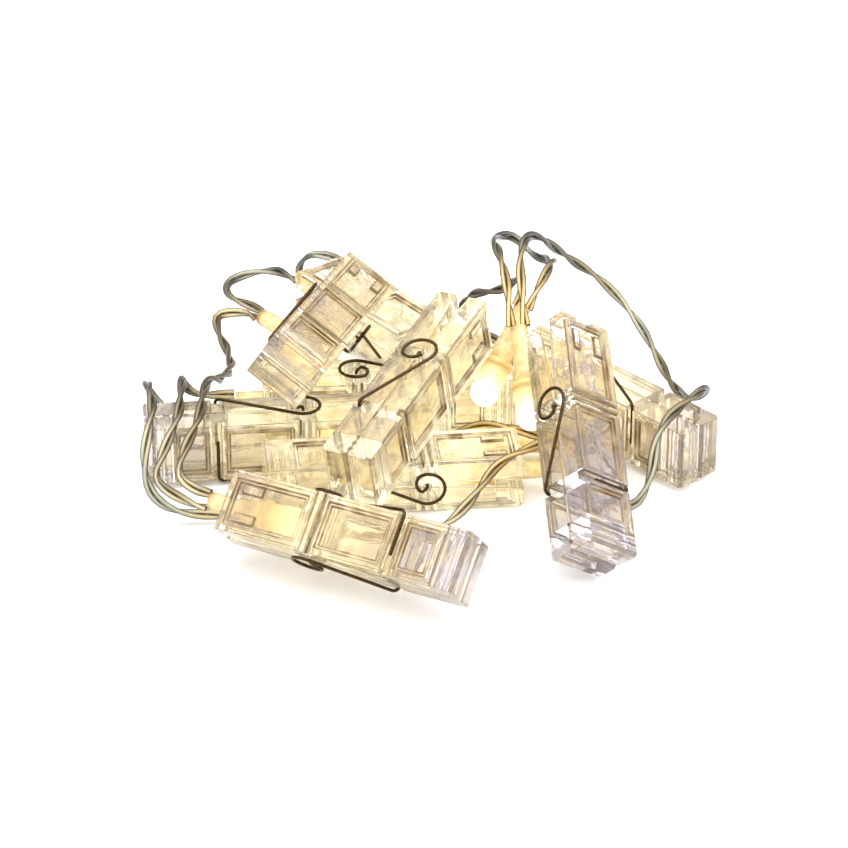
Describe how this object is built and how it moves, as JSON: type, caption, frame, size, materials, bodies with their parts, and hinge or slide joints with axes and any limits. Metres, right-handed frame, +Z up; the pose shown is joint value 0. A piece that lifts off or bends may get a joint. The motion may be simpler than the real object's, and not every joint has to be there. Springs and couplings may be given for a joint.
{
  "type": "clip string lights",
  "caption": "Pile of string lights: clear plastic pegs on bent wire springs, round LEDs with sleeves, and twisted cord runs that join the lights.",
  "frame": {"origin": "on the floor, under the middle of the pile of pegs and lights", "axes": "+Y is the pile's longest way, from the front peg to the back one; +Z is up"},
  "size_m": [0.0997, 0.1287, 0.0338],
  "materials": {
    "clear_polystyrene": "polished clear plastic",
    "spring_steel": "drawn wire, bare",
    "led_epoxy": "clear warm lens, lit",
    "clear_sleeve": "shrunk clear tube",
    "wire_insulation": "clear PVC over wire"
  },
  "bodies": {
    "string": {"peg_01_fixed_half": "clear_polystyrene", "peg_01_spring": "spring_steel", "peg_02_fixed_half": "clear_polystyrene", "peg_02_spring": "spring_steel", "led_02": "led_epoxy", "led_02_sleeve": "clear_sleeve", "peg_03_fixed_half": "clear_polystyrene", "peg_03_spring": "spring_steel", "led_03": "led_epoxy", "led_03_sleeve": "clear_sleeve", "peg_04_fixed_half": "clear_polystyrene", "peg_04_spring": "spring_steel", "led_04": "led_epoxy", "led_04_sleeve": "clear_sleeve", "peg_05_fixed_half": "clear_polystyrene", "peg_05_spring": "spring_steel", "peg_06_fixed_half": "clear_polystyrene", "peg_06_spring": "spring_steel", "led_06": "led_epoxy", "led_06_sleeve": "clear_sleeve", "peg_07_fixed_half": "clear_polystyrene", "peg_07_spring": "spring_steel", "led_07": "led_epoxy", "led_07_sleeve": "clear_sleeve", "peg_08_fixed_half": "clear_polystyrene", "peg_08_spring": "spring_steel", "peg_09_fixed_half": "clear_polystyrene", "peg_09_spring": "spring_steel", "led_09": "led_epoxy", "led_09_sleeve": "clear_sleeve", "led_10": "led_epoxy", "led_10_sleeve": "clear_sleeve", "led_11": "led_epoxy", "led_11_sleeve": "clear_sleeve", "led_12": "led_epoxy", "led_12_sleeve": "clear_sleeve", "led_13": "led_epoxy", "led_13_sleeve": "clear_sleeve", "cord_1": "wire_insulation", "cord_2": "wire_insulation", "cord_3": "wire_insulation", "cord_4": "wire_insulation", "cord_5": "wire_insulation", "cord_6": "wire_insulation", "cord_7": "wire_insulation", "cord_8": "wire_insulation", "cord_9": "wire_insulation"},
    "peg_01_jaw": {"peg_01_moving_half": "clear_polystyrene"},
    "peg_02_jaw": {"peg_02_moving_half": "clear_polystyrene"},
    "peg_03_jaw": {"peg_03_moving_half": "clear_polystyrene"},
    "peg_04_jaw": {"peg_04_moving_half": "clear_polystyrene"},
    "peg_05_jaw": {"peg_05_moving_half": "clear_polystyrene"},
    "peg_06_jaw": {"peg_06_moving_half": "clear_polystyrene"},
    "peg_07_jaw": {"peg_07_moving_half": "clear_polystyrene"},
    "peg_08_jaw": {"peg_08_moving_half": "clear_polystyrene"},
    "peg_09_jaw": {"peg_09_moving_half": "clear_polystyrene"}
  },
  "joints": [
    {"name": "peg_01_squeeze", "type": "hinge", "parent": "string", "child": "peg_01_jaw", "pos_m": [-0.01694, 0.01527, 0.01897], "axis": [-0.7853, 0.304, 0.5393], "range_deg": [0, 8], "stiffness_Nm_per_rad": 0.08, "springref_deg": -40.11, "deforming": ["peg_01_spring"]},
    {"name": "peg_02_squeeze", "type": "hinge", "parent": "string", "child": "peg_02_jaw", "pos_m": [-0.01043, 0.04127, 0.0047], "axis": [-0.788, -0.6157, 0], "range_deg": [0, 8], "stiffness_Nm_per_rad": 0.08, "springref_deg": -40.11, "deforming": ["peg_02_spring"]},
    {"name": "peg_03_squeeze", "type": "hinge", "parent": "string", "child": "peg_03_jaw", "pos_m": [-0.02174, -0.00422, 0.0064], "axis": [0, 0, -1], "range_deg": [0, 8], "stiffness_Nm_per_rad": 0.08, "springref_deg": -40.11, "deforming": ["peg_03_spring"]},
    {"name": "peg_04_squeeze", "type": "hinge", "parent": "string", "child": "peg_04_jaw", "pos_m": [-0.01791, -0.0403, 0.0094], "axis": [-0.3266, -0.6409, -0.6947], "range_deg": [0, 8], "stiffness_Nm_per_rad": 0.08, "springref_deg": -40.11, "deforming": ["peg_04_spring"]},
    {"name": "peg_05_squeeze", "type": "hinge", "parent": "string", "child": "peg_05_jaw", "pos_m": [0.02468, -0.02024, 0.01972], "axis": [-0.7283, -0.3997, 0.5567], "range_deg": [0, 8], "stiffness_Nm_per_rad": 0.08, "springref_deg": -40.11, "deforming": ["peg_05_spring"]},
    {"name": "peg_06_squeeze", "type": "hinge", "parent": "string", "child": "peg_06_jaw", "pos_m": [0.02768, 0.0099, 0.0064], "axis": [0, 0, -1], "range_deg": [0, 8], "stiffness_Nm_per_rad": 0.08, "springref_deg": -40.11, "deforming": ["peg_06_spring"]},
    {"name": "peg_07_squeeze", "type": "hinge", "parent": "string", "child": "peg_07_jaw", "pos_m": [-0.0128, 0.00867, 0.0064], "axis": [0, 0, -1], "range_deg": [0, 8], "stiffness_Nm_per_rad": 0.08, "springref_deg": -40.11, "deforming": ["peg_07_spring"]},
    {"name": "peg_08_squeeze", "type": "hinge", "parent": "string", "child": "peg_08_jaw", "pos_m": [-0.00092, -0.01003, 0.02104], "axis": [-0.1254, -0.1693, 0.9776], "range_deg": [0, 8], "stiffness_Nm_per_rad": 0.08, "springref_deg": -40.11, "deforming": ["peg_08_spring"]},
    {"name": "peg_09_squeeze", "type": "hinge", "parent": "string", "child": "peg_09_jaw", "pos_m": [-0.00085, -0.01349, 0.0047], "axis": [-0.1045, 0.9945, 0], "range_deg": [0, 8], "stiffness_Nm_per_rad": 0.08, "springref_deg": -40.11, "deforming": ["peg_09_spring"]}
  ]
}
